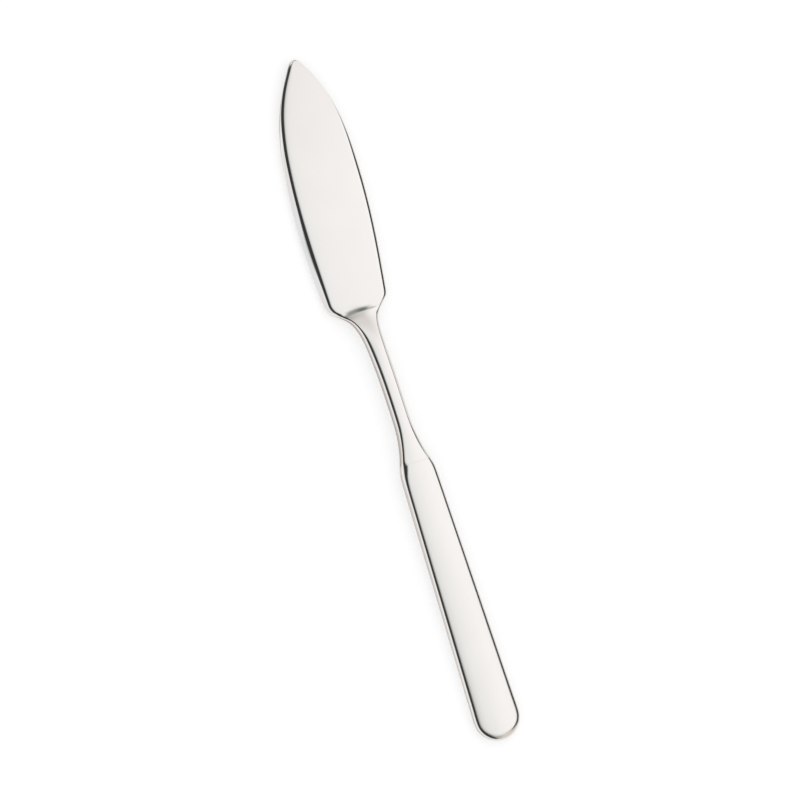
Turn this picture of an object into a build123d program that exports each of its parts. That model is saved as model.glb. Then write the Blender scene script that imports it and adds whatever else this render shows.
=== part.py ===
from build123d import *
import os
from math import acos, atan2, cos, degrees, hypot, radians, sin, tan

# Fish knife with a hollow handle, lying on its back.
# x points to the spine, y to the tip and z up; sizes are in millimetres.
# While the pieces are made, y = 0 is the joint between the neck and the handle.

# Blade: a leaf shape, its widths measured from the knife's centre line.
# The leans at the heel are sideways steps for one step along the knife.
BLADE_LENGTH = 70.95
BLADE_THICKNESS = 2.0
BLADE_CROWN_RADIUS = 300.0
BLADE_CROWN_OFFSET = -0.5
TIP_OFFSET = 2.05
TIP_ROUND = 2.1
TIP_HALF_ANGLE = 37.0
BELLY_AT_HEEL = 11.1
BELLY_HEEL_LEAN = 0.1
BELLY_WIDEST = 11.9
BELLY_WIDEST_FROM_HEEL = 17.85
BELLY_FORE = 9.95
BELLY_FORE_BACK = 27.3
BELLY_NEAR_TIP = 5.4
BELLY_NEAR_TIP_BACK = 10.4
SPINE_AT_HEEL = 7.3
SPINE_HEEL_LEAN = 0.15
SPINE_WIDEST = 11.1
SPINE_WIDEST_BACK = 32.3
SPINE_NEAR_TIP = 9.65
SPINE_NEAR_TIP_BACK = 14.7

# Ground cutting edge on the front face, narrower at the tip and run out along the heel
BEVEL_WIDTH = 1.5
BEVEL_LEAN = 0.75
EDGE_LAND = 0.4
BEVEL_RUN_OUT = 5.0

# Heel: two sloping sides that run from the blade's corners into the neck
HEEL_CORNER_BELLY = 3.9
HEEL_CORNER_SPINE = 2.0
HEEL_SLOPE_BELLY = 6.8
HEEL_SLOPE_SPINE = 4.45
ROOT_SWEEP_BELLY = 13.0
ROOT_SWEEP_SPINE = 4.5
TAIL_INSET = 0.3

# Neck: a rounded bar from the joint to the heel.
# A curve is the power that a size changes with along its length.
NECK_LENGTH = 47.35
NECK_WIDTH = 4.65
NECK_EDGE_ROUND = 1.2
FLARE_LENGTH = 12.0
FLARE_CURVE = 2.0
COLLAR_WIDTH = 8.9
COLLAR_EDGE_ROUND = 1.0

# Root: the end of the neck, which widens and thins until it sinks into the blade
ROOT_LENGTH = 22.7
ROOT_SHORT_OF_HEEL = 0.65
ROOT_LEAN_BELLY = 1.35
ROOT_FLARE_BELLY = 6.2
ROOT_CURVE_BELLY = 6.0
ROOT_LEAN_SPINE = -0.5
ROOT_FLARE_SPINE = 4.4
ROOT_CURVE_SPINE = 9.0
ROOT_CURVE_THICKNESS = 6.0
ROOT_END_ROUND = 0.8
ROOT_SINK = 0.3

# Distance between the sections that the neck's flare and root are drawn through
SECTION_SPACING = 3.0

# Tang: the bar inside the handle, bedded in cement on every side
TANG_LENGTH = 50.0
TANG_TAPER = 0.8
CEMENT_BED = 0.35
CEMENT_BED_SIDE = 1.1

# Handle: two stamped sheet shells with a flat back and a crowned front
HANDLE_LENGTH = 81.85
SHOULDER_THICKNESS = 3.9
BUTT_THICKNESS = 2.95
SHOULDER_WIDTH = 10.35
SHOULDER_BACK = 3.6
BUTT_WIDTH = 13.45
HANDLE_CROWN_RADIUS = 45.0
HANDLE_EDGE_ROUND = 0.9
SHELL_WALL = 0.7

# Brazed seams between the two shells and between the shells and the collar
SEAM_FILM = 0.12
COLLAR_FILM = 0.1

# How far cutting shapes reach past the knife, and how deep fused pieces run into each other
REACH = 300.0
BURY = 2.0

# Largest rounding, as a part of the height or width that it is on
ROUND_LIMIT = 0.45

MID_Z = SHOULDER_THICKNESS / 2
TIP_Y = NECK_LENGTH + BLADE_LENGTH
TIP_SLOPE = (sin(radians(TIP_HALF_ANGLE)), cos(radians(TIP_HALF_ANGLE)))
TIP_CORNER = (TIP_OFFSET, TIP_Y + TIP_ROUND * (1 / TIP_SLOPE[0] - 1))
HANDLE_TILT = atan2(SHOULDER_THICKNESS - BUTT_THICKNESS, HANDLE_LENGTH)
FLARE_SLOPE = (COLLAR_WIDTH - NECK_WIDTH) / FLARE_LENGTH
HEEL_CORNER = (-BELLY_AT_HEEL, NECK_LENGTH)


def belly_edge():
    """The curved cutting edge, from the heel to the corner that is rounded into the tip."""
    widest = (-BELLY_WIDEST, NECK_LENGTH + BELLY_WIDEST_FROM_HEEL)
    fore = (-BELLY_FORE, TIP_Y - BELLY_FORE_BACK)
    near_tip = (-BELLY_NEAR_TIP, TIP_Y - BELLY_NEAR_TIP_BACK)
    lower = Spline(HEEL_CORNER, widest, tangents=[(-BELLY_HEEL_LEAN, 1), (0, 1)])
    upper = Spline(widest, fore, near_tip, TIP_CORNER, tangents=[(0, 1), TIP_SLOPE])
    return lower + upper


def spine_edge():
    """The blunt edge, from the tip's corner back to the heel."""
    widest = (SPINE_WIDEST, TIP_Y - SPINE_WIDEST_BACK)
    near_tip = (SPINE_NEAR_TIP, TIP_Y - SPINE_NEAR_TIP_BACK)
    leaving = (TIP_SLOPE[0], -TIP_SLOPE[1])
    upper = Spline(TIP_CORNER, near_tip, widest, tangents=[leaving, (0, -1)])
    lower = Spline(widest, (SPINE_AT_HEEL, NECK_LENGTH), tangents=[(0, -1), (-SPINE_HEEL_LEAN, -1)])
    return upper + lower


def corner_edge(solid, x, y):
    """The upright edge of a plate nearest to a corner of its outline."""
    upright = solid.edges().filter_by(Axis.Z)
    return upright.sort_by_distance((x, y, MID_Z))[0]


def blade_plate():
    """The blank of the blade, with its heel and the tail that runs into the neck."""
    tail = NECK_WIDTH / 2 - TAIL_INSET
    tail_end = NECK_LENGTH - HEEL_SLOPE_BELLY - ROOT_SWEEP_BELLY
    heel = Polyline(
        (SPINE_AT_HEEL, NECK_LENGTH),
        (tail, NECK_LENGTH - HEEL_SLOPE_SPINE),
        (tail, tail_end),
        (-tail, tail_end),
        (-tail, NECK_LENGTH - HEEL_SLOPE_BELLY),
        HEEL_CORNER,
    )
    outline = make_face(belly_edge() + spine_edge() + heel)
    plate = Pos(0, 0, MID_Z - BLADE_THICKNESS / 2) * extrude(outline, amount=BLADE_THICKNESS)
    corners = (
        (*TIP_CORNER, TIP_ROUND),
        (*HEEL_CORNER, HEEL_CORNER_BELLY),
        (SPINE_AT_HEEL, NECK_LENGTH, HEEL_CORNER_SPINE),
        (-tail, NECK_LENGTH - HEEL_SLOPE_BELLY, ROOT_SWEEP_BELLY),
        (tail, NECK_LENGTH - HEEL_SLOPE_SPINE, ROOT_SWEEP_SPINE),
    )
    for x, y, radius in corners:
        plate = fillet(corner_edge(plate, x, y), radius)
    return plate


def crowned(plate):
    """Round both faces of the blade a little across its width."""
    drop = BLADE_CROWN_RADIUS - BLADE_THICKNESS / 2
    drum = Rot(90, 0, 0) * Cylinder(BLADE_CROWN_RADIUS, 2 * (TIP_Y + REACH))
    for side in (1, -1):
        plate = plate & Pos(BLADE_CROWN_OFFSET, 0, MID_Z - side * drop) * drum
    return plate


def bevel_cutter():
    """A leaning block outside the belly that grinds the front face down to the cutting edge."""
    depth = BLADE_THICKNESS - EDGE_LAND
    slope = atan2(HEEL_SLOPE_BELLY, BELLY_AT_HEEL - NECK_WIDTH / 2)
    into_heel = BEVEL_WIDTH * sin(slope) + BEVEL_LEAN * cos(slope)
    drop = slope + atan2(into_heel, BEVEL_RUN_OUT)
    run_out = (HEEL_CORNER[0] + BEVEL_RUN_OUT * cos(drop), NECK_LENGTH - BEVEL_RUN_OUT * sin(drop))
    outside = Polyline(
        TIP_CORNER,
        (TIP_OFFSET, TIP_Y + REACH),
        (-REACH, TIP_Y + REACH),
        (-REACH, run_out[1]),
        run_out,
        HEEL_CORNER,
    )
    region = make_face(belly_edge() + outside)
    region = fillet(region.vertices().sort_by_distance((*HEEL_CORNER, 0))[0], HEEL_CORNER_BELLY)
    ground = Pos(0, 0, MID_Z - BLADE_THICKNESS / 2 + EDGE_LAND) * region
    return extrude(ground, amount=REACH, dir=(BEVEL_WIDTH, BEVEL_LEAN, depth))


def across(y, x=0.0, z=MID_Z):
    """A drawing plane square to the knife's length."""
    return Plane(origin=(x, y, z), x_dir=(1, 0, 0), z_dir=(0, -1, 0))


def neck_section(y, left, right, thickness, edge_round):
    """A rounded rectangle across the neck."""
    width = left + right
    edge_round = min(edge_round, ROUND_LIMIT * min(width, thickness))
    return across(y, (right - left) / 2) * RectangleRounded(width, thickness, edge_round)


def parts_of(length):
    """Even parts of a length, from 0 to 1, one for each section drawn along it."""
    spaces = round(length / SECTION_SPACING)
    return [space / spaces for space in range(spaces + 1)]


def neck():
    """The neck bar, flared to the collar at one end and sunk into the blade at the other."""
    half = NECK_WIDTH / 2
    root_y = NECK_LENGTH - ROOT_SHORT_OF_HEEL - ROOT_LENGTH
    flare = []
    for part in parts_of(FLARE_LENGTH):
        wide = half + (COLLAR_WIDTH / 2 - half) * (1 - part) ** FLARE_CURVE
        edge = COLLAR_EDGE_ROUND + (NECK_EDGE_ROUND - COLLAR_EDGE_ROUND) * part
        flare.append(neck_section(part * FLARE_LENGTH, wide, wide, SHOULDER_THICKNESS, edge))
    bar_start = neck_section(FLARE_LENGTH, half, half, SHOULDER_THICKNESS, NECK_EDGE_ROUND)
    bar = extrude(bar_start, amount=root_y - FLARE_LENGTH, dir=(0, 1, 0))
    thinning = SHOULDER_THICKNESS - BLADE_THICKNESS + 2 * ROOT_SINK
    root = []
    for part in parts_of(ROOT_LENGTH):
        left = half + ROOT_LEAN_BELLY * part + ROOT_FLARE_BELLY * part**ROOT_CURVE_BELLY
        right = half + ROOT_LEAN_SPINE * part + ROOT_FLARE_SPINE * part**ROOT_CURVE_SPINE
        thickness = SHOULDER_THICKNESS - thinning * part**ROOT_CURVE_THICKNESS
        edge = NECK_EDGE_ROUND + (ROOT_END_ROUND - NECK_EDGE_ROUND) * part
        root.append(neck_section(root_y + part * ROOT_LENGTH, left, right, thickness, edge))
    return loft(flare) + bar + loft(root)


def tang():
    """The tapered bar that the handle is set on."""
    thinning = TANG_LENGTH * tan(HANDLE_TILT)
    width = COLLAR_WIDTH - 2 * (SHELL_WALL + CEMENT_BED_SIDE)
    thickness = SHOULDER_THICKNESS - 2 * (SHELL_WALL + CEMENT_BED)
    front = across(BURY) * Rectangle(width, thickness)
    end = across(-TANG_LENGTH, z=MID_Z - thinning / 2)
    end = end * Rectangle(width - 2 * TANG_TAPER, thickness - thinning)
    return loft([front, end])


def blade_forging():
    """Blade, neck and tang in one piece."""
    ground = crowned(blade_plate()) - bevel_cutter()
    return ground + neck() + tang()


def handle_plan(inset):
    """Outline of the handle, drawn in by a wall's thickness for the hollow inside it."""
    butt_radius = BUTT_WIDTH / 2 - inset
    butt_y = BUTT_WIDTH / 2 - HANDLE_LENGTH
    collar = (COLLAR_WIDTH / 2 - inset, 0)
    front = (collar[0] - FLARE_SLOPE * BURY, BURY)
    shoulder = (SHOULDER_WIDTH / 2 - inset, -SHOULDER_BACK)
    reach = hypot(shoulder[0], shoulder[1] - butt_y)
    turn = atan2(shoulder[1] - butt_y, shoulder[0]) - acos(butt_radius / reach)
    side_end = (butt_radius * cos(turn), butt_y + butt_radius * sin(turn))
    along = (side_end[0] - shoulder[0], side_end[1] - shoulder[1])
    half = Line((0, BURY), front)
    half += Spline(front, collar, shoulder, tangents=[(FLARE_SLOPE, -1), along])
    half += Line(shoulder, side_end)
    half += RadiusArc(side_end, (0, butt_y - butt_radius), butt_radius)
    return make_face(half + mirror(half, about=Plane.YZ))


def handle_form(inset):
    """A solid of the handle's shape: flat back, crowned front, drawn in by a wall's thickness."""
    drum = Rot(90 + degrees(HANDLE_TILT), 0, 0) * Cylinder(HANDLE_CROWN_RADIUS - inset, 2 * REACH)
    axis_y = HANDLE_CROWN_RADIUS * sin(HANDLE_TILT)
    axis_z = SHOULDER_THICKNESS - HANDLE_CROWN_RADIUS * cos(HANDLE_TILT)
    form = Pos(0, 0, inset) * extrude(handle_plan(inset), amount=SHOULDER_THICKNESS + BURY)
    return form & Pos(0, axis_y, axis_z) * drum


def rim_height(width, thickness):
    """Height of the handle's side wall, where the crowned front has dropped to it."""
    return thickness - width**2 / (8 * HANDLE_CROWN_RADIUS)


def rounded_rims(form):
    """Round the handle's edges, front and back, but not where it is cut off at the collar."""
    edge_round = min(HANDLE_EDGE_ROUND, ROUND_LIMIT * rim_height(BUTT_WIDTH, BUTT_THICKNESS))
    groups = form.edges().filter_by(Axis.Z, reverse=True).group_by(Axis.Y)
    rims = [rim for group in groups[:-1] for rim in group]
    return fillet(rims, edge_round)


def behind(y):
    """Everything on the handle's side of a cut across the knife."""
    return Pos(0, y, 0) * Box(REACH, REACH, REACH, align=(Align.CENTER, Align.MAX, Align.CENTER))


def seam_slab(low, high):
    """A slab along the middle of the handle's side wall, from one height above the seam to another."""
    collar_z = rim_height(SHOULDER_WIDTH, SHOULDER_THICKNESS) / 2
    butt_z = rim_height(BUTT_WIDTH, BUTT_THICKNESS) / 2
    tilt = degrees(atan2(collar_z - butt_z, HANDLE_LENGTH))
    slab = Box(REACH, REACH, high - low, align=(Align.CENTER, Align.CENTER, Align.MIN))
    return Pos(0, 0, collar_z) * Rot(tilt, 0, 0) * Pos(0, 0, low) * slab


blade = blade_forging()
hollow = handle_form(SHELL_WALL) & behind(0)
skin = (rounded_rims(handle_form(0)) & behind(0)) - hollow
shells = skin & behind(-COLLAR_FILM)

pieces = {
    "blade": blade,
    "front_handle_shell": shells & seam_slab(SEAM_FILM / 2, REACH),
    "back_handle_shell": shells & seam_slab(-REACH, -SEAM_FILM / 2),
    "seam_braze": shells & seam_slab(-SEAM_FILM / 2, SEAM_FILM / 2),
    "collar_braze": skin - behind(-COLLAR_FILM),
    "handle_cement": hollow - blade,
}

# The origin is on the table, under the middle of the knife.
outer = blade.bounding_box().add(skin.bounding_box())
to_origin = Pos(-outer.center().X, -outer.center().Y, -outer.min.Z)

os.makedirs("parts", exist_ok=True)
for name, piece in pieces.items():
    export_step(to_origin * piece, f"parts/{name}.step")
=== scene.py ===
import bpy
from collections import namedtuple
from functools import lru_cache
from math import cos, hypot, pi, radians, sin
from mathutils import Matrix, Vector


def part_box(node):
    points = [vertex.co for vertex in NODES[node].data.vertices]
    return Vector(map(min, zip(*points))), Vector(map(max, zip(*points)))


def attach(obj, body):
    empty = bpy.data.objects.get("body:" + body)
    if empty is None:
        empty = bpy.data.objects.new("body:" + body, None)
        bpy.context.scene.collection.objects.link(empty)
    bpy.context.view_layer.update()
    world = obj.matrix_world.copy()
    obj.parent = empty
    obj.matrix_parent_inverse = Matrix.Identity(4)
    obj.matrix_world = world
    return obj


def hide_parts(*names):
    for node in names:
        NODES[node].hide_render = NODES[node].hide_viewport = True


# Fish knife on a white table: polished blade, satin neck and handle.
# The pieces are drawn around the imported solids, in metres, with x to the spine, y to the tip and z up.

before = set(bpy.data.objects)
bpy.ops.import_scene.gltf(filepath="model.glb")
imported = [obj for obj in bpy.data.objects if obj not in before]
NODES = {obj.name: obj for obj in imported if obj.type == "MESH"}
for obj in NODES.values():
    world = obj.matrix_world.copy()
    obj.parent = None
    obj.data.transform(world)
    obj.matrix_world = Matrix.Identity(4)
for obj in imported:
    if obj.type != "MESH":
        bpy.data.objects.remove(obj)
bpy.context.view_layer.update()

MM = 0.001
BLADE_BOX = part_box("blade")
COLLAR_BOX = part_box("collar_braze")
SHELL_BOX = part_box("front_handle_shell")

# The knife's centre line and the places along it, with the run each way that counts as the heel
AXIS = (COLLAR_BOX[0].x + COLLAR_BOX[1].x) / 2
JOINT = COLLAR_BOX[1].y
TIP = BLADE_BOX[1].y
HEEL = JOINT + 47.35 * MM
HEEL_RUN = 5.0 * MM
FAN_START = JOINT + 38 * MM
GRIND_START = HEEL - HEEL_RUN * 2
MIDDLE = (BLADE_BOX[0].z + BLADE_BOX[1].z) / 2

# Where the height of the blade's flat is measured
FLAT_PLACE = HEEL + 20 * MM

# Front corner on the belly's side: rounded on the neck and ground to an edge on the blade.
# Millimetres from the joint, then the corner's width and depth in millimetres, how far it is ground,
# and the width of the flatter shoulder above the ground edge.
BELLY_CORNER = (
    (-0.01, 0.25, 0.25, 0.0, 0.1),
    (0.0, 1.58, 0.82, 0.0, 0.3),
    (0.3, 1.48, 0.74, 0.0, 0.3),
    (0.6, 1.28, 0.58, 0.0, 0.3),
    (1.0, 1.12, 0.47, 0.0, 0.3),
    (1.5, 1.04, 0.43, 0.0, 0.3),
    (2.5, 1.01, 0.42, 0.0, 0.3),
    (6.0, 1.02, 0.46, 0.0, 0.3),
    (8.0, 1.03, 0.54, 0.0, 0.3),
    (11.0, 1.04, 0.66, 0.0, 0.3),
    (15.0, 1.05, 0.75, 0.0, 0.3),
    (36.0, 1.05, 0.75, 0.0, 0.3),
    (41.0, 0.55, 0.7, 0.0, 0.3),
    (44.0, 0.4, 0.6, 0.2, 0.2),
    (45.0, 0.5, 0.7, 0.5, 0.25),
    (46.0, 0.8, 0.95, 0.8, 0.35),
    (47.5, 1.2, 1.2, 1.0, 0.42),
    (49.5, 1.4, 1.3, 1.0, 0.46),
    (58.0, 1.82, 1.48, 1.0, 0.47),
    (70.0, 1.86, 1.5, 1.0, 0.48),
    (80.0, 1.63, 1.36, 1.0, 0.5),
    (90.0, 1.28, 1.16, 1.0, 0.56),
    (94.0, 1.14, 1.05, 1.0, 0.58),
    (98.0, 0.95, 0.95, 1.0, 0.62),
    (102.0, 0.76, 0.75, 1.0, 0.64),
    (106.0, 0.62, 0.55, 1.0, 0.6),
    (112.0, 0.56, 0.42, 1.0, 0.56),
    (115.5, 0.66, 0.46, 1.0, 0.66),
    (117.5, 0.62, 0.44, 1.0, 0.62),
    (118.2, 0.45, 0.36, 1.0, 0.45),
)

# The shoulder's slope, how far it rolls under the face, and the most of the corner that it takes.
# The edge keeps a thin land below the ground face.
SHOULDER_SLOPE = 0.545
SHOULDER_ROLL = 0.07 * MM
SHOULDER_WIDTH_LIMIT = 0.97
SHOULDER_DEPTH_LIMIT = 0.7
EDGE_LAND = 0.05 * MM

# How far the belly's outline is drawn in near the tip: millimetres from the joint and across
BELLY_TRIM = ((94.0, 0.0), (100.0, 0.22), (106.0, 0.28), (112.0, 0.28), (115.0, 0.2), (118.2, 0.0))

# How far the back of the belly's edge lies in from the front: millimetres from the joint and across
BELLY_UNDERCUT = (
    (98.0, 0.0),
    (106.0, 0.2),
    (112.0, 0.36),
    (116.0, 0.42),
    (117.8, 0.4),
    (118.1, 0.28),
    (118.2, 0.12),
)

# The heel's corners on the spine's side are softened by a mean along the knife: millimetres from the joint
# and the mean's reach each way, then steps of that reach and their shares of the mean
HEEL_REACH = ((34.0, 0.0), (41.0, 2.2), (44.0, 2.2), (47.0, 1.1), (52.0, 0.0))
HEEL_MEAN = ((-1.0, 1), (-0.5, 2), (0.0, 3), (0.5, 2), (1.0, 1))

# A rounded and a flat corner, from the wall to the face, as shares of the corner's width and depth
ROUND_SHAPE = ((0.0, 1.0), (0.134, 0.5), (0.5, 0.134), (1.0, 0.0))
FLAT_SHAPE = ((0.0, 1.0), (0.33, 0.67), (0.67, 0.33), (1.0, 0.0))

# Front corner on the spine's side: millimetres from the joint, then width and depth in millimetres
# and how flat it is
SPINE_CORNER = (
    (-0.01, 0.25, 0.25, 0.0),
    (0.0, 0.8, 0.9, 0.0),
    (8.0, 0.75, 0.85, 0.3),
    (14.0, 0.8, 0.9, 1.0),
    (30.0, 0.8, 0.9, 1.0),
    (40.0, 0.65, 0.75, 1.0),
    (45.0, 0.5, 0.6, 1.0),
    (48.0, 1.2, 0.65, 0.0),
    (85.0, 1.2, 0.65, 0.0),
    (100.0, 0.45, 0.4, 0.0),
    (106.0, 0.22, 0.22, 0.0),
    (118.2, 0.12, 0.15, 0.0),
)

# Corners of the back: millimetres from the joint and radius in millimetres
BACK_CORNERS = (
    (-0.01, 0.25),
    (0.0, 0.9),
    (12.0, 0.9),
    (36.0, 0.9),
    (43.3, 0.4),
    (48.0, 0.15),
    (118.2, 0.15),
)

# A corner takes no more than these parts of the width and thickness that it is on
WIDTH_LIMIT = 0.4
ROUND_LIMIT = 0.36

# Crown of the neck's face: millimetres from the joint, then its radius on the belly's side and on the
# spine's side and the place of its ridge across
CROWN = (
    (0.0, 45, 45, 0.0),
    (12.0, 14, 14, 0.0),
    (36.0, 14, 14, 0.0),
    (39.0, 26, 26, -1.1),
    (41.0, 32, 36, -1.9),
    (43.4, 26, 36, -2.6),
    (45.6, 26, 58, -2.6),
)
BLADE_CROWN = 300 * MM

# How far the neck's fan has sunk towards the blade: millimetres from the joint and of depth.
# Its end is a short slope, curved across the blade, that runs out before the spine.
FAN_DEPTH = (
    (30.0, 0.0),
    (36.0, 0.06),
    (40.0, 0.26),
    (43.4, 0.5),
    (45.2, 0.66),
    (45.7, 0.82),
    (46.2, 0.9),
    (46.8, 0.94),
    (47.6, 0.96),
    (118.2, 2.0),
)
FAN_CENTRE = -2.5 * MM
FAN_SWEEP = 32 * MM

# Step along the belly over which its lean is measured
SLOPE_STEP = 0.3 * MM

# Short step that leaves an edge sharp, and the reach within which points are one
SHARP_STEP = 0.005 * MM
MERGE_REACH = SHARP_STEP / 10

# Places of the blade's rings of points in millimetres: back from the tip, with how far the first of them
# are drawn in, ahead of the joint, and back from the joint along the tang. The leaf has evenly spaced rings.
TIP_RINGS = (0.03, 0.09, 0.2, 0.5, 1.1, 2.1, 3.5, 5.5, 8.0)
TIP_INSETS = (0.14, 0.05, 0.01)
LEAF_RINGS = 14
HEEL_RINGS = (51.0, 50.0, 49.2, 48.5, 47.8, 47.2, 46.7, 46.2, 45.8, 45.5, 45.25, 45.0, 44.75, 44.5, 44.25)
FAN_RINGS = (43.9, 43.4, 42.7, 41.9, 41.0, 39.5, 37.5)
NECK_RINGS = (34.5, 30.5, 26.0, 20.0, 14.5, 12.0, 10.0, 8.0, 6.0, 4.0)
COLLAR_RINGS = (2.8, 2.0, 1.4, 1.0, 0.7, 0.4, 0.2, 0.04)
TANG_RINGS = (0.6, 12.0, 30.0, 48.0, 49.6, 49.95)

# Shares of the face, from the ground edge to the spine, at which points stand
FACE_SHARES = (0.06, 0.24, 0.42, 0.6, 0.78, 0.93)

# Rims of the handle shells: millimetres back from the joint, then width and depth in millimetres
BELLY_RIM = (
    (0.0, 1.58, 0.82),
    (0.6, 1.62, 0.9),
    (1.0, 1.6, 0.97),
    (2.0, 1.45, 1.05),
    (3.0, 1.25, 0.9),
    (4.2, 1.0, 0.7),
    (6.0, 0.87, 0.57),
    (78.0, 0.87, 0.57),
    (82.0, 1.9, 1.1),
)
SPINE_RIM = ((0.0, 0.8, 0.9), (6.0, 0.8, 0.8), (78.0, 0.8, 0.8), (80.0, 1.4, 0.95), (82.0, 1.9, 1.1))
HANDLE_CROWN = 45 * MM
BACK_HEIGHT = 0.0
SHELL_WALL = 0.65 * MM
COLLAR_FILM = 0.1 * MM

# Places of the shells' points: millimetres back from the joint along the sides, steps round the butt
# and round the rim, and how far in over the face
SIDE_RINGS = (0.1, 0.4, 1.0, 1.8, 2.8, 4.0, 6.5, 13.0, 23.0, 34.0, 45.0, 56.0, 65.0, 71.0)
BUTT_STEPS = 12
RIM_STEPS = 3
FACE_INSETS = (2.1 * MM, 3.4 * MM)

# Places where the handle's heights are measured, in millimetres back from the joint
MEASURED_BACK = (6.5, 71.0)

SMOOTH_LEVELS = 2
SMOOTH_ANGLE = radians(40)

# Steel: its colours, its tint where it is seen on edge, and its roughness at places along the knife
STEEL_LIGHT = (0.9, 0.875, 0.855, 1)
STEEL_DARK = (0.88, 0.855, 0.835, 1)
BLADE_EDGE = (0.4, 0.34, 0.29, 1)
HANDLE_EDGE = (0.58, 0.52, 0.46, 1)
BLADE_ROUGH = 0.09
SATIN_ROUGH = 0.13
GLOSS_SPREAD = 0.4
BLADE_GLOSS = ((JOINT, SATIN_ROUGH), (FAN_START, SATIN_ROUGH), (HEEL, BLADE_ROUGH), (TIP, BLADE_ROUGH))
HANDLE_GLOSS = ((SHELL_BOX[0].y, SATIN_ROUGH), (JOINT, SATIN_ROUGH))
CLOUD = {"Scale": 90, "Detail": 4, "Roughness": 0.5}
CLOUD_DARK = 0.3
CLOUD_LIGHT = 0.7
GRAIN = {"Scale": 5000, "Detail": 3, "Roughness": 0.6}
GRAIN_STRETCH = (1, 0.03, 1)
GRAIN_BUMP = {"Strength": 1, "Distance": 4e-7}

# Braze and cement: their colours, roughness and size of speckle
BRAZE_LIGHT = (0.9, 0.87, 0.84, 1)
BRAZE_DARK = (0.87, 0.84, 0.81, 1)
BRAZE_ROUGH = 0.17
BRAZE_SPECKLE = 2500
CEMENT_LIGHT = (0.5, 0.4, 0.28, 1)
CEMENT_DARK = (0.36, 0.28, 0.19, 1)
CEMENT_ROUGH = 0.85
CEMENT_SPECKLE = 1800
SPECKLE = {"Detail": 6, "Roughness": 0.6}
SPECKLE_DARK = 0.35
SPECKLE_LIGHT = 0.65
SPECKLE_BUMP = {"Strength": 0.5, "Distance": 0.02 * MM}

# Table: it lies a hair under the knife and glows a little, so that it is white beside the shadow
TABLE_SIZE = 6
TABLE_DROP = 0.01 * MM
TABLE_GREY = 0.62
TABLE_ROUGH = 0.9
TABLE_GLOW = 0.45

# The level of light on matt surfaces, and the white of the background
FILL_LEVEL = 0.95
WHITE_LEVEL = 1

# Light by direction round the knife: degrees from straight up towards the spine, and colour
LIGHT_ROUND = (
    (-180, (0.82, 0.78, 0.78)),
    (-90, (0.83, 0.79, 0.79)),
    (-70, (0.86, 0.86, 0.87)),
    (-58, (0.87, 0.9, 0.93)),
    (-53, (0.036, 0.045, 0.041)),
    (-7, (0.036, 0.043, 0.039)),
    (-2, (0.3, 0.3, 0.29)),
    (2, (0.66, 0.66, 0.65)),
    (5, (0.84, 0.85, 0.85)),
    (11, (0.93, 0.95, 0.95)),
    (18, (1.02, 1.01, 1.01)),
    (25, (1.06, 1.06, 1.06)),
    (40, (1.06, 1.06, 1.06)),
    (87, (0.9, 0.9, 0.9)),
    (180, (0.9, 0.9, 0.9)),
)

# Light by direction along the knife: the sine of the angle to the tip, and the share of light left there
LIGHT_ALONG = (
    (-1.0, (0.48, 0.46, 0.42)),
    (-0.75, (0.48, 0.46, 0.42)),
    (-0.55, (0.58, 0.56, 0.53)),
    (-0.42, (0.86, 0.85, 0.83)),
    (-0.3, (0.97, 0.97, 0.96)),
    (0.05, (1.0, 1.0, 1.0)),
    (0.15, (0.79, 0.765, 0.745)),
    (0.21, (0.63, 0.605, 0.58)),
    (0.3, (0.42, 0.42, 0.41)),
    (0.38, (0.34, 0.37, 0.37)),
    (0.62, (0.34, 0.37, 0.37)),
    (0.8, (0.85, 0.85, 0.85)),
    (1.0, (0.9, 0.9, 0.9)),
)

# Where the light along the knife counts: degrees from straight up, as above, and share
OVERHEAD = ((-180, 0), (-6, 0), (4, 1), (23, 1), (29, 0.3), (35, 0), (180, 0))

# Cards that stand before the tent: colour, then where each is by the direction round and along the knife.
# A beige one past the butt, a dark one on the spine's side, a dark one overhead towards the tip, and a pale
# one past the tip on the belly's side.
CARDS = (
    (
        (0.73, 0.69, 0.64),
        ((-180, 0), (14, 0), (28, 1), (85, 1), (95, 0), (180, 0)),
        ((-1, 1), (-0.35, 1), (-0.2, 0), (1, 0)),
    ),
    (
        (0.07, 0.062, 0.055),
        ((-180, 0), (35.5, 0), (37.5, 1), (82, 1), (87, 0), (180, 0)),
        ((-1, 0), (-0.53, 0), (-0.42, 1), (0.07, 1), (0.18, 0), (1, 0)),
    ),
    (
        (0.15, 0.175, 0.175),
        ((-180, 0), (14, 0), (22, 1), (27, 1), (29.5, 0), (180, 0)),
        ((-1, 0), (0.28, 0), (0.38, 1), (0.62, 1), (0.75, 0), (1, 0)),
    ),
    (
        (0.8, 0.79, 0.79),
        ((-180, 0), (-62, 0), (-55, 1), (-8, 1), (0, 0), (180, 0)),
        ((-1, 0), (0.54, 0), (0.66, 1), (1, 1)),
    ),
)

# The camera looks down from the belly's side. The knife's centre line leans in the picture.
CAMERA_TILT = radians(18.0)
CAMERA_TURN = radians(17.9)
CAMERA_DISTANCE = 1.2
CAMERA_SENSOR = 36
PICTURE_PIXELS = 800
PIXEL = MM / 3.555
MARK = Vector((AXIS, JOINT + MM, 1.95 * MM))
MARK_PIXEL = (413.9, 458.9)

Slice = namedtuple("Slice", "left right bottom top")


@lru_cache(maxsize=None)
def slice_box(node, y):
    """Left, right, bottom and top of a solid where it is cut across the knife."""
    mesh = NODES[node].data
    points = []
    for edge in mesh.edges:
        start, end = (mesh.vertices[index].co for index in edge.vertices)
        if (start.y - y) * (end.y - y) < 0:
            points.append(start.lerp(end, (y - start.y) / (end.y - start.y)))
    across = [point.x for point in points]
    heights = [point.z for point in points]
    return Slice(min(across), max(across), min(heights), max(heights))


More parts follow.
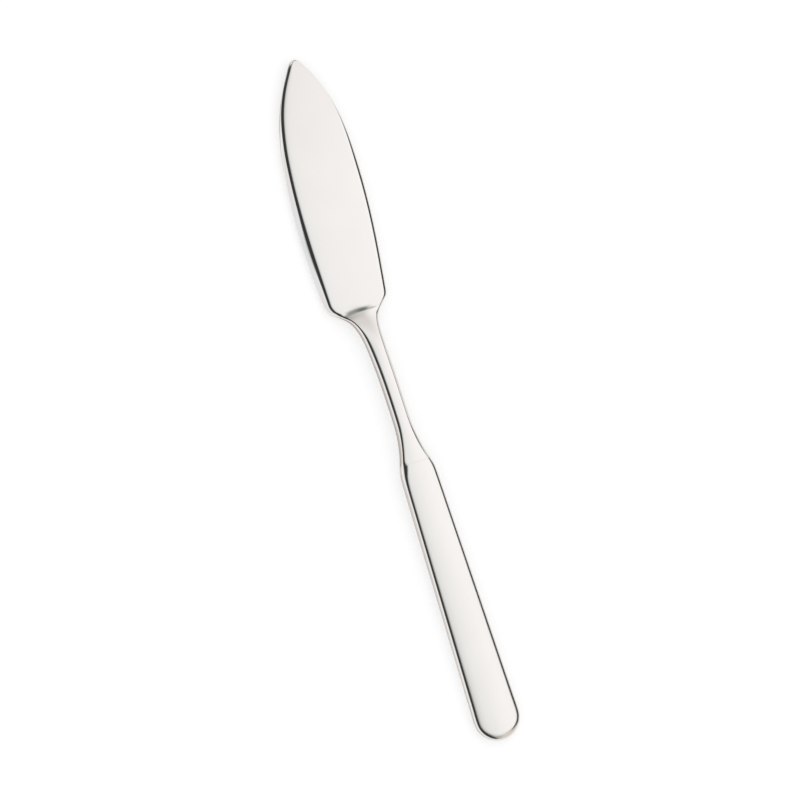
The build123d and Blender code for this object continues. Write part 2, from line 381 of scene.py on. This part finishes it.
def between(place, marks):
    """A value at a place, drawn straight between (place, value) marks whose places rise."""
    for (low, value), (high, following) in zip(marks, marks[1:]):
        if place <= high:
            part = max(0.0, (place - low) / (high - low))
            return value + (following - value) * part
    return marks[-1][1]


def values_at(y, marks):
    """Up to four values at y, from marks whose places are in millimetres ahead of the joint."""
    return between(y, [(JOINT + place * MM, Vector((*values, 0, 0, 0)[:4])) for place, *values in marks])


def length_at(y, marks):
    """One length at y, from marks in millimetres."""
    return values_at(y, marks)[0] * MM


def even_run(start, end, count):
    """Evenly spaced places between two ends, both ends left out."""
    return [start + (end - start) * step / (count + 1) for step in range(1, count + 1)]


def blended(first, second, part):
    """A corner's shape part of the way from one to another."""
    return [Vector(start).lerp(Vector(end), part) for start, end in zip(first, second)]


def ground_shape(wide, deep, shoulder):
    """A corner with a steep ground edge and a flatter shoulder, as shares of its width and depth."""
    flat = min(shoulder / wide, SHOULDER_WIDTH_LIMIT)
    low = min(SHOULDER_SLOPE * shoulder / deep, SHOULDER_DEPTH_LIMIT)
    return ((0.0, 1.0), ((1 - flat) / 2, (1 + low) / 2), (1 - flat, low), (1.0, 0.0))


def corner(x, z, wide, deep, shape):
    """Points round a corner of a section, from its wall onto its face."""
    return [(x + wide * across, z + deep * down) for across, down in shape]


def softened_spine(y):
    """The spine's side of the blade at y, as a weighted mean over a short run along the heel."""
    reach = length_at(y, HEEL_REACH)
    sides = [slice_box("blade", y + step * reach).right * share for step, share in HEEL_MEAN]
    return sum(sides) / sum(share for _, share in HEEL_MEAN)


def blade_box(y):
    """The blade's slice at y, its belly trimmed near the tip and its heel softened."""
    cut = slice_box("blade", y)
    left = cut.left + length_at(y, BELLY_TRIM)
    by_heel = FAN_START - HEEL_RUN < y < HEEL + HEEL_RUN
    right = softened_spine(y) if by_heel else cut.right
    return Slice(left, right, cut.bottom, cut.top)


def belly_corner(y, left, right):
    """The front corner on the belly's side: width, depth, how far it is ground, and its shoulder."""
    wide, deep, ground, shoulder = values_at(y, BELLY_CORNER)
    lean = 0.0
    if y > GRIND_START:
        step = SLOPE_STEP if y + SLOPE_STEP < TIP else -SLOPE_STEP
        lean = (blade_box(y + step).left - left) / step
    slanted = min(wide * MM * hypot(1, lean), WIDTH_LIMIT * (right - left))
    return slanted, deep * MM, ground, shoulder / wide * slanted


def face_height(y, x):
    """Height of the front face of the blade and neck above the knife's middle."""
    offset = x - AXIS
    bends = [(place, 1 / belly, 1 / spine, ridge) for place, belly, spine, ridge in CROWN]
    belly_bend, spine_bend, ridge, _ = values_at(y, bends)
    away = offset - ridge * MM
    crown = (belly_bend if away < 0 else spine_bend) / MM * away**2 / 2
    sweep = (offset - FAN_CENTRE) ** 2 / (2 * FAN_SWEEP) if y > FAN_START else 0.0
    sunk = length_at(y + sweep, FAN_DEPTH)
    neck = BLADE_BOX[1].z - MIDDLE - sunk - crown
    leaf = slice_box("blade", FLAT_PLACE).top - MIDDLE - offset**2 / (2 * BLADE_CROWN)
    return max(neck, leaf) if y > FAN_START else neck


def blade_section(y, inset):
    """The ring of points round the blade, neck or tang at y, drawn in by an inset."""
    left, right, bottom, top = blade_box(y)
    wide, deep, ground, shoulder = belly_corner(y, left, right)
    left += inset
    right -= inset
    half = (top - bottom) / 2 - inset
    room = ROUND_LIMIT * min(2 * half, right - left)
    far_wide, far_deep, far_flat, _ = values_at(y, SPINE_CORNER)
    far_wide = min(far_wide * MM, ROUND_LIMIT * (right - left))
    far_deep = min(far_deep * MM, room)
    small = min(length_at(y, BACK_CORNERS), room)

    def front_z(x):
        return MIDDLE + (face_height(y, x) - inset if y > JOINT else half)

    def back_z(x):
        return 2 * MIDDLE - front_z(x)

    face = [left + wide + (right - far_wide - left - wide) * share for share in FACE_SHARES]
    rim = front_z(left + wide) - SHOULDER_ROLL * ground
    deep = min(deep, rim - back_z(left) - small - EDGE_LAND)
    belly = blended(ROUND_SHAPE, ground_shape(wide, deep, shoulder), ground)
    spine = blended(ROUND_SHAPE, FLAT_SHAPE, far_flat)
    front = corner(left, rim, wide, -deep, belly)
    front += [(x, front_z(x)) for x in face]
    front += corner(right, front_z(right - far_wide), -far_wide, -far_deep, spine)[::-1]
    back = corner(right, back_z(right), -small, small, ROUND_SHAPE)
    back += [(x, back_z(x)) for x in face[::-1]]
    under = left + length_at(y, BELLY_UNDERCUT)
    back += corner(under, back_z(under), small, small, ROUND_SHAPE)[::-1]
    return [Vector((x, y, z)) for x, z in front + back]


def blade_rings():
    """Rings of points from the tip to the end of the tang, with a sharp step down at the joint."""
    insets = list(TIP_INSETS) + [0.0] * (len(TIP_RINGS) - len(TIP_INSETS))
    places = [(TIP - back * MM, inset * MM) for back, inset in zip(TIP_RINGS, insets)]
    leaf_start = TIP - TIP_RINGS[-1] * MM
    places += [(y, 0.0) for y in even_run(leaf_start, HEEL + HEEL_RUN, LEAF_RINGS)]
    places += [(JOINT + ahead * MM, 0.0) for ahead in HEEL_RINGS + FAN_RINGS + NECK_RINGS + COLLAR_RINGS]
    places += [(JOINT + SHARP_STEP, 0.0), (JOINT + SHARP_STEP / 2, SHARP_STEP * 4)]
    places += [(JOINT - SHARP_STEP * 2, 0.0)]
    places += [(JOINT - back * MM, 0.0) for back in TANG_RINGS]
    return [blade_section(y, inset) for y, inset in places]


def laid_grid(name, rows):
    """A mesh of quads laid over rows of points, with points that meet merged into one.

    The knife's section changes all along it, so the points of a grid are moved to the rows, one by one.
    The mesh is left in edit mode, all selected.
    """
    bpy.ops.object.select_all(action="DESELECT")
    bpy.ops.mesh.primitive_grid_add(x_subdivisions=len(rows[0]) - 1, y_subdivisions=len(rows) - 1, size=MM)
    piece = bpy.context.active_object
    piece.name = name
    piece.data.name = name
    places = [value for row in rows for point in row for value in point]
    piece.data.vertices.foreach_set("co", places)
    bpy.ops.object.mode_set(mode="EDIT")
    bpy.ops.mesh.select_all(action="SELECT")
    bpy.ops.mesh.remove_doubles(threshold=MERGE_REACH)
    return piece


def turned_out():
    """Point the faces of the mesh in edit mode outwards, and leave edit mode."""
    bpy.ops.mesh.normals_make_consistent(inside=False)
    bpy.ops.object.mode_set(mode="OBJECT")


def smoothed(piece):
    """Round a piece's cage into a smooth surface."""
    smooth = piece.modifiers.new("smooth", "SUBSURF")
    smooth.levels = SMOOTH_LEVELS
    smooth.render_levels = SMOOTH_LEVELS
    smooth.boundary_smooth = "PRESERVE_CORNERS"
    bpy.ops.object.modifier_apply(modifier=smooth.name)


def walled(piece):
    """Give a skin the sheet's thickness, inwards."""
    wall = piece.modifiers.new("wall", "SOLIDIFY")
    wall.thickness = SHELL_WALL
    wall.offset = -1
    bpy.ops.object.modifier_apply(modifier=wall.name)


def finished(piece, material, node):
    """Shade a piece, give it its finish and put it in its solid's place."""
    bpy.ops.object.shade_smooth_by_angle(angle=SMOOTH_ANGLE)
    piece.data.materials.append(material)
    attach(piece, "root")
    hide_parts(node)


def blade(material):
    """Blade, neck and tang as one smooth bar, closed at the tip and at the end of the tang."""
    rows = [ring + ring[:1] for ring in blade_rings()]
    piece = laid_grid("knife_blade", rows)
    bpy.ops.mesh.fill_holes(sides=0)
    turned_out()
    smoothed(piece)
    finished(piece, material, "blade")


def collar_film(material):
    """The brazed joint between the neck's collar and the handle, flush with both."""
    ring = blade_section(JOINT + SHARP_STEP, 0.0)
    ends = (JOINT, JOINT - COLLAR_FILM)
    rows = [[Vector((point.x, y, point.z)) for point in ring + ring[:1]] for y in ends]
    piece = laid_grid("collar_film", rows)
    turned_out()
    smoothed(piece)
    walled(piece)
    finished(piece, material, "collar_braze")


def handle_outline():
    """Points from the collar round the butt and back, each with its point on the centre line."""
    radius = (SHELL_BOX[1].x - SHELL_BOX[0].x) / 2
    butt = SHELL_BOX[0].y + radius
    belly = []
    spine = []
    for back in SIDE_RINGS:
        y = JOINT - back * MM - SHARP_STEP
        cut = slice_box("front_handle_shell", y)
        centre = Vector((AXIS, y, 0))
        belly.append((Vector((cut.left, y, 0)), centre))
        spine.append((Vector((cut.right, y, 0)), centre))
    step = pi / BUTT_STEPS
    # Points this far out are smoothed to the butt's own radius
    hull = radius * 3 / (2 + cos(step))
    centre = Vector((AXIS, butt, 0))
    round_butt = []
    for index in range(BUTT_STEPS + 1):
        turn = pi + step * index
        round_butt.append((centre + hull * Vector((cos(turn), sin(turn), 0)), centre))
    return belly + round_butt + spine[::-1]


def line_through(node, side):
    """A height along the handle, straight between two places where the solid is measured."""
    near, far = (JOINT - back * MM for back in MEASURED_BACK)
    near_z, far_z = (getattr(slice_box(node, y), side) for y in (near, far))
    return lambda y: near_z + (far_z - near_z) * (y - near) / (far - near)


def rim_size(edge):
    """Width and depth of a shell's rim at a point of its outline."""
    marks = BELLY_RIM if edge.x < AXIS else SPINE_RIM
    return between((JOINT - edge.y) / MM, [(back, Vector(sizes) * MM) for back, *sizes in marks])


def shell_rows(seam, face):
    """Rows of points from the seam up the wall, round the rim and over the face to the centre line."""
    outline = handle_outline()
    rows = [[Vector((edge.x, edge.y, seam(edge.y))) for edge, _ in outline]]
    for step in range(RIM_STEPS + 1):
        turn = step / RIM_STEPS * pi / 2
        row = []
        for edge, centre in outline:
            wide, deep = rim_size(edge)
            point = edge + (centre - edge).normalized() * wide * (1 - cos(turn))
            rim = face(point)
            below = deep * (1 - sin(turn))
            row.append(Vector((point.x, point.y, rim + below if rim < seam(point.y) else rim - below)))
        rows.append(row)
    for inset in FACE_INSETS:
        row = []
        for edge, centre in outline:
            point = edge + (centre - edge).normalized() * inset
            row.append(Vector((point.x, point.y, face(point))))
        rows.append(row)
    rows.append([Vector((centre.x, centre.y, face(centre))) for _, centre in outline])
    return rows


def shell(name, seam, face, material, node):
    """One stamped half of the handle: a smooth skin with the sheet's thickness inside it."""
    piece = laid_grid(name, shell_rows(seam, face))
    turned_out()
    smoothed(piece)
    walled(piece)
    finished(piece, material, node)


def handle(material):
    """The crowned front shell and the flat back shell."""
    ridge = line_through("front_handle_shell", "top")
    front_seam = line_through("front_handle_shell", "bottom")
    back_seam = line_through("back_handle_shell", "top")

    def front_face(point):
        return ridge(point.y) - (point.x - AXIS) ** 2 / (2 * HANDLE_CROWN)

    def back_face(point):
        return BACK_HEIGHT

    shell("handle_front", front_seam, front_face, material, "front_handle_shell")
    shell("handle_back", back_seam, back_face, material, "back_handle_shell")


def refinish(node, material):
    """A new finish on a solid whose shape is right."""
    slots = NODES[node].data.materials
    slots.clear()
    slots.append(material)


def grey(level):
    """An opaque grey."""
    return (level, level, level, 1)


def add_node(tree, kind, **values):
    """A shader node with its sockets set by name."""
    node = tree.nodes.new(kind)
    for name, value in values.items():
        node.inputs[name.replace("_", " ")].default_value = value
    return node


def fed_node(tree, kind, source, socket, **values):
    """A shader node with one socket fed from a source and others set by name."""
    node = add_node(tree, kind, **values)
    tree.links.new(source, node.inputs[socket])
    return node


def worked_out(tree, operation, first, second):
    """What a math operation makes of two sources."""
    node = tree.nodes.new("ShaderNodeMath")
    node.operation = operation
    tree.links.new(first, node.inputs[0])
    tree.links.new(second, node.inputs[1])
    return node.outputs[0]


def ramp_of(tree, source, marks):
    """The colours of a ramp with the given (position, colour) marks."""
    ramp = tree.nodes.new("ShaderNodeValToRGB")
    stops = ramp.color_ramp.elements
    stops[0].position, stops[0].color = marks[0]
    stops[1].position, stops[1].color = marks[-1]
    for position, colour in marks[1:-1]:
        stops.new(position).color = colour
    tree.links.new(source, ramp.inputs[0])
    return ramp.outputs["Color"]


def ramp_over(tree, source, marks):
    """The colours of a ramp over a source's own values, from its first (value, colour) mark to its last."""
    low = marks[0][0]
    high = marks[-1][0]
    share = fed_node(tree, "ShaderNodeMapRange", source, "Value", From_Min=low, From_Max=high)
    steps = [((value - low) / (high - low), colour) for value, colour in marks]
    return ramp_of(tree, share.outputs["Result"], steps)


def new_material(name):
    """A material, its node tree, its shader and its object coordinates."""
    material = bpy.data.materials.new(name)
    material.use_nodes = True
    tree = material.node_tree
    shader = tree.nodes["Principled BSDF"]
    place = tree.nodes.new("ShaderNodeTexCoord").outputs["Object"]
    return material, tree, shader, place


def raised(tree, shader, height, bump):
    """Raise a shader's surface a little by a height."""
    relief = fed_node(tree, "ShaderNodeBump", height, "Height", **bump)
    tree.links.new(relief.outputs["Normal"], shader.inputs["Normal"])


def steel(name, edge, gloss_marks):
    """Steel with a faint cloud of colour, a drawn grain and a browner gloss where it is seen on edge."""
    material, tree, shader, place = new_material(name)
    shader.inputs["Metallic"].default_value = 1
    shader.inputs["Specular Tint"].default_value = edge
    cloud = fed_node(tree, "ShaderNodeTexNoise", place, "Vector", **CLOUD).outputs["Fac"]
    colour = ramp_of(tree, cloud, ((CLOUD_DARK, STEEL_DARK), (CLOUD_LIGHT, STEEL_LIGHT)))
    tree.links.new(colour, shader.inputs["Base Color"])
    drawn = fed_node(tree, "ShaderNodeMapping", place, "Vector", Scale=GRAIN_STRETCH).outputs["Vector"]
    grain = fed_node(tree, "ShaderNodeTexNoise", drawn, "Vector", **GRAIN).outputs["Fac"]
    axes = fed_node(tree, "ShaderNodeSeparateXYZ", place, "Vector")
    finish = ramp_over(tree, axes.outputs["Y"], [(mark, grey(rough)) for mark, rough in gloss_marks])
    spread = {"To_Min": 1 - GLOSS_SPREAD, "To_Max": 1 + GLOSS_SPREAD}
    uneven = fed_node(tree, "ShaderNodeMapRange", grain, "Value", **spread).outputs["Result"]
    tree.links.new(worked_out(tree, "MULTIPLY", finish, uneven), shader.inputs["Roughness"])
    raised(tree, shader, grain, GRAIN_BUMP)
    return material


def speckled(name, light, dark, roughness, scale, metallic):
    """A plain material, speckled and a little rough."""
    material, tree, shader, place = new_material(name)
    shader.inputs["Metallic"].default_value = metallic
    shader.inputs["Roughness"].default_value = roughness
    specks = fed_node(tree, "ShaderNodeTexNoise", place, "Vector", Scale=scale, **SPECKLE).outputs["Fac"]
    colour = ramp_of(tree, specks, ((SPECKLE_DARK, dark), (SPECKLE_LIGHT, light)))
    tree.links.new(colour, shader.inputs["Base Color"])
    raised(tree, shader, specks, SPECKLE_BUMP)
    return material


def background_rays(tree):
    """1 for rays that the camera, a gloss or a glass sends, and 0 for those that carry light."""
    path = tree.nodes.new("ShaderNodeLightPath").outputs
    seen = worked_out(tree, "MAXIMUM", path["Is Camera Ray"], path["Is Glossy Ray"])
    return worked_out(tree, "MAXIMUM", seen, path["Is Transmission Ray"])


def table():
    """A white table that shows the knife's shadow."""
    bpy.ops.object.select_all(action="DESELECT")
    bpy.ops.mesh.primitive_plane_add(size=TABLE_SIZE, location=(0, 0, -TABLE_DROP))
    top = bpy.context.active_object
    top.name = "table"
    material, tree, shader, _ = new_material("white_table")
    shader.inputs["Base Color"].default_value = grey(TABLE_GREY)
    shader.inputs["Roughness"].default_value = TABLE_ROUGH
    shader.inputs["Specular IOR Level"].default_value = 0
    shader.inputs["Emission Color"].default_value = grey(WHITE_LEVEL)
    glow = fed_node(tree, "ShaderNodeMapRange", background_rays(tree), "Value", To_Max=TABLE_GLOW)
    tree.links.new(glow.outputs["Result"], shader.inputs["Emission Strength"])
    top.data.materials.append(material)


def light_over(tree, source, marks):
    """Light over one measure of a ray's direction, from (measure, colour) marks."""
    return ramp_over(tree, source, [(measure, (*colour, 1)) for measure, colour in marks])


def share_over(tree, source, marks):
    """A share from 0 to 1 over one measure of a ray's direction."""
    return ramp_over(tree, source, [(measure, grey(share)) for measure, share in marks])


def mixed(tree, blend, factor, first):
    """A mix node with its factor and its first light. The caller gives it the second, B."""
    mix = tree.nodes.new("ShaderNodeMix")
    mix.data_type = "RGBA"
    mix.blend_type = blend
    tree.links.new(factor, mix.inputs["Factor"])
    tree.links.new(first, mix.inputs["A"])
    return mix


def turn_round_knife(tree, axes):
    """The angle of a ray round the knife's length, in degrees from straight up."""
    turn = worked_out(tree, "ARCTAN2", axes["X"], axes["Z"])
    in_degrees = tree.nodes.new("ShaderNodeMath")
    in_degrees.operation = "DEGREES"
    tree.links.new(turn, in_degrees.inputs[0])
    return in_degrees.outputs[0]


def tent_light(tree):
    """The tent's light by direction, dimmed along the knife overhead, with the cards before it."""
    ray = tree.nodes.new("ShaderNodeTexCoord").outputs["Generated"]
    axes = fed_node(tree, "ShaderNodeSeparateXYZ", ray, "Vector").outputs
    turn = turn_round_knife(tree, axes)
    overhead = share_over(tree, turn, OVERHEAD)
    dimmed = mixed(tree, "MULTIPLY", overhead, light_over(tree, turn, LIGHT_ROUND))
    tree.links.new(light_over(tree, axes["Y"], LIGHT_ALONG), dimmed.inputs["B"])
    light = dimmed.outputs["Result"]
    for colour, round_marks, along_marks in CARDS:
        round_share = share_over(tree, turn, round_marks)
        along_share = share_over(tree, axes["Y"], along_marks)
        card = mixed(tree, "MIX", worked_out(tree, "MULTIPLY", round_share, along_share), light)
        card.inputs["B"].default_value = (*colour, 1)
        light = card.outputs["Result"]
    return light


def picked(tree, choice, first, second):
    """One light, or another where the choice is 1."""
    pick = tree.nodes.new("ShaderNodeMixShader")
    tree.links.new(choice, pick.inputs[0])
    tree.links.new(first.outputs[0], pick.inputs[1])
    tree.links.new(second.outputs[0], pick.inputs[2])
    return pick


def studio():
    """A pale tent with a dark gap on the belly's side, seen in the steel, on a white background."""
    world = bpy.data.worlds.new("studio")
    bpy.context.scene.world = world
    world.use_nodes = True
    tree = world.node_tree
    tent = tree.nodes["Background"]
    tree.links.new(tent_light(tree), tent.inputs["Color"])
    path = tree.nodes.new("ShaderNodeLightPath").outputs
    fill = add_node(tree, "ShaderNodeBackground", Color=grey(FILL_LEVEL))
    white = add_node(tree, "ShaderNodeBackground", Color=grey(WHITE_LEVEL))
    light = picked(tree, path["Is Diffuse Ray"], tent, fill)
    light = picked(tree, path["Is Camera Ray"], light, white)
    tree.links.new(light.outputs[0], tree.nodes["World Output"].inputs["Surface"])
    bpy.context.scene.view_settings.view_transform = "Standard"


def camera():
    """A camera placed so that the mark on the neck falls on its pixel."""
    toward = Vector((-sin(CAMERA_TILT), 0, cos(CAMERA_TILT)))
    side = Vector((cos(CAMERA_TILT), 0, sin(CAMERA_TILT)))
    along = Vector((0, 1, 0))
    up = cos(CAMERA_TURN) * along + sin(CAMERA_TURN) * side
    right = cos(CAMERA_TURN) * side - sin(CAMERA_TURN) * along
    middle = PICTURE_PIXELS / 2
    target = MARK + (middle - MARK_PIXEL[0]) * PIXEL * right + (MARK_PIXEL[1] - middle) * PIXEL * up
    lens = bpy.data.cameras.new("camera")
    lens.sensor_width = CAMERA_SENSOR
    lens.lens = CAMERA_SENSOR * CAMERA_DISTANCE / (PICTURE_PIXELS * PIXEL)
    eye = bpy.data.objects.new("camera", lens)
    bpy.context.scene.collection.objects.link(eye)
    stand = Matrix((right, up, toward)).transposed().to_4x4()
    stand.translation = target + CAMERA_DISTANCE * toward
    eye.matrix_world = stand
    bpy.context.scene.camera = eye


blade(steel("polished_steel", BLADE_EDGE, BLADE_GLOSS))
handle(steel("satin_steel", HANDLE_EDGE, HANDLE_GLOSS))
braze = speckled("silver_braze", BRAZE_LIGHT, BRAZE_DARK, BRAZE_ROUGH, BRAZE_SPECKLE, metallic=1)
cement = speckled("tan_cement", CEMENT_LIGHT, CEMENT_DARK, CEMENT_ROUGH, CEMENT_SPECKLE, metallic=0)
collar_film(braze)
refinish("seam_braze", braze)
refinish("handle_cement", cement)
table()
studio()
camera()
